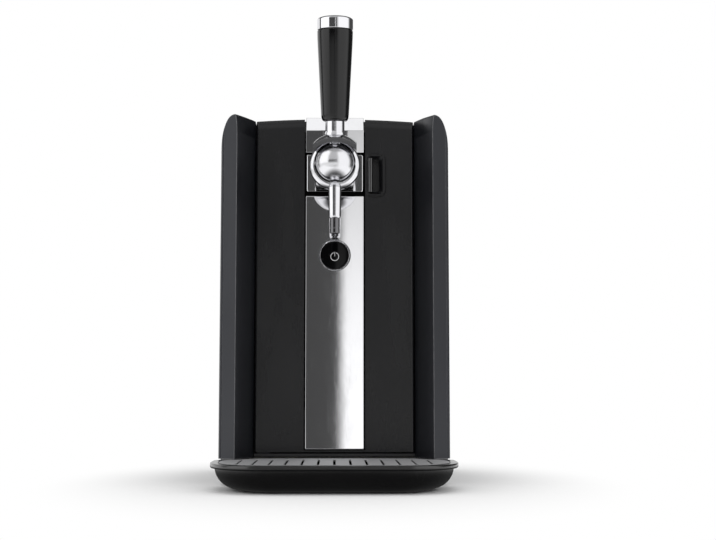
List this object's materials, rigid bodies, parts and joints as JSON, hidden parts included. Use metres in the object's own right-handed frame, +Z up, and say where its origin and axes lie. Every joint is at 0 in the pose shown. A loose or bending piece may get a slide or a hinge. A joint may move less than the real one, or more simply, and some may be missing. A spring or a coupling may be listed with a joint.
{
  "type": "mini keg beer dispenser",
  "caption": "Counter-top mini keg beer dispenser: cooled chamber behind a hinged front door, lever tap, round display and pull-out drip tray with a slotted grid.",
  "frame": {"origin": "on the table under the middle of the whole dispenser, tray included", "axes": "+Z up, front with the tap and the tray towards -Y, +X to the right seen from the front"},
  "size_m": [0.28, 0.495, 0.5405],
  "materials": {
    "shell_grey": "satin",
    "door_black": "satin",
    "chrome": "polished",
    "grip_black": "satin",
    "dark_glass": "gloss",
    "tray_black": "satin",
    "steel": "satin",
    "aluminium": "satin",
    "liner_grey": "satin",
    "foam": "matte",
    "rubber": "matte",
    "circuit_board": "satin",
    "ceramic": "matte",
    "dark_plastic": "matte",
    "brass": "polished"
  },
  "bodies": {
    "cabinet": {"base_tub": "tray_black", "foot_front_left": "rubber", "foot_front_right": "rubber", "foot_rear_left": "rubber", "foot_rear_right": "rubber", "side_panel_left": "shell_grey", "side_panel_right": "shell_grey", "top_cover": "shell_grey", "rear_cover": "dark_plastic", "front_frame": "dark_plastic", "steel_land": "steel", "hinge_lower": "steel", "hinge_upper": "steel", "chamber_liner": "liner_grey", "foam_jacket": "foam", "keg_seat": "liner_grey", "gas_coupling": "brass", "gas_pipe": "dark_plastic", "air_pump": "dark_plastic", "cold_plate": "aluminium", "cooling_module": "ceramic", "heat_sink": "aluminium", "fan_frame": "dark_plastic", "power_supply": "steel", "control_board": "circuit_board", "power_inlet": "dark_plastic", "switch_frame": "dark_plastic"},
    "fan": {"fan_rotor": "dark_plastic"},
    "rocker": {"rocker": "dark_plastic"},
    "door": {"door_shell": "door_black", "door_liner": "liner_grey", "door_foam": "foam", "door_gasket": "rubber", "upper_strip": "chrome", "tap_plate": "chrome", "lower_strip": "chrome", "display_bezel": "grip_black", "display_glass": "dark_glass", "display_board": "circuit_board", "handle_cup": "grip_black", "handle_bar": "grip_black", "tap_body": "chrome", "shank_nut": "brass", "tap_pivot_pin": "steel", "spout": "chrome", "outlet_nozzle": "grip_black"},
    "tap_lever": {"tap_ball": "chrome", "lever_neck": "chrome", "lever_grip": "grip_black", "grip_cap": "chrome"},
    "drip_tray": {"tray_bowl": "tray_black", "tray_pad_left": "rubber", "tray_pad_right": "rubber"},
    "grid": {"drip_grid": "steel"}
  },
  "joints": [
    {"name": "door_swing", "type": "hinge", "parent": "cabinet", "child": "door", "pos_m": [-0.0895, -0.0705, 0.24], "axis": [0, 0, -1], "range_deg": [0, 100]},
    {"name": "tap_pull", "type": "hinge", "parent": "door", "child": "tap_lever", "pos_m": [0, -0.1625, 0.372], "axis": [1, 0, 0], "range_deg": [0, 55]},
    {"name": "drip_tray_slide", "type": "slide", "parent": "cabinet", "child": "drip_tray", "axis": [0, -1, 0], "range_m": [0, 0.2]},
    {"name": "grid_lift", "type": "slide", "parent": "drip_tray", "child": "grid", "axis": [0, 0, 1], "range_m": [0, 0.06]},
    {"name": "fan_spin", "type": "hinge", "parent": "cabinet", "child": "fan", "pos_m": [0, 0.2127, 0.24], "axis": [0, 1, 0], "continuous": true},
    {"name": "power_rocker", "type": "hinge", "parent": "cabinet", "child": "rocker", "pos_m": [-0.044, 0.2415, 0.084], "axis": [-1, 0, 0], "range_deg": [0, 10]}
  ]
}
